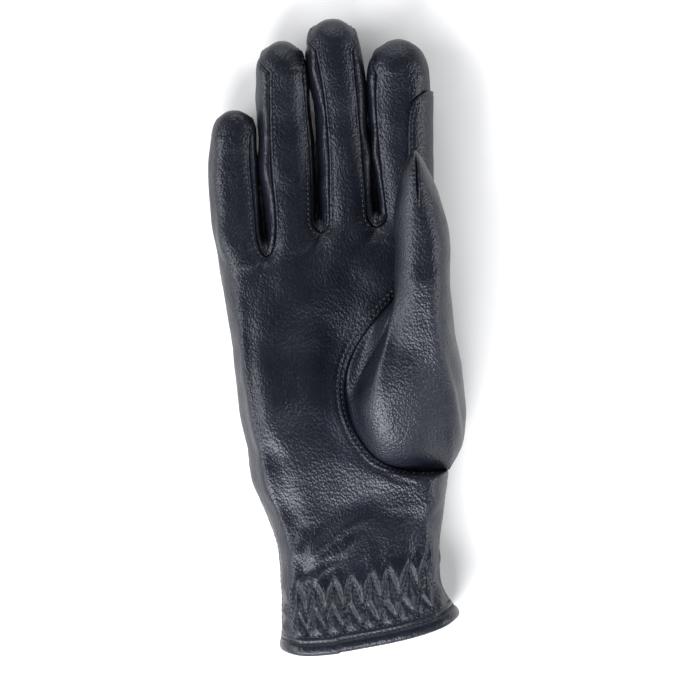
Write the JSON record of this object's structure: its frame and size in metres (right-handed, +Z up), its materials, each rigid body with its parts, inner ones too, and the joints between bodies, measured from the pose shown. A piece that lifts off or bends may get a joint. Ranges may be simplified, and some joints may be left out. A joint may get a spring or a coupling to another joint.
{
  "type": "horse riding glove",
  "caption": "Close-fitting right-hand leather riding glove with fourchettes between the fingers, a set-in thumb, a reinforced forefinger and an elasticated, bound wrist.",
  "frame": {"origin": "middle of the glove's box, on the surface that it lies on", "axes": "+Y from the wrist to the fingertips, +X to the thumb side, +Z up out of the palm; the glove lies on its back"},
  "size_m": [0.0964, 0.2396, 0.0525],
  "materials": {
    "leather": "smooth fine-grain navy leather with a soft sheen",
    "reinforcement": "fine-grain navy leather, slightly duller",
    "binding": "folded navy leather binding"
  },
  "bodies": {
    "root": {"palm_panel": "leather", "back_panel": "leather", "fourchette_little_ring": "leather", "fourchette_ring_middle": "leather", "fourchette_middle_index": "leather", "thumb": "leather", "index_patch": "reinforcement", "cuff_binding": "binding"}
  },
  "joints": []
}
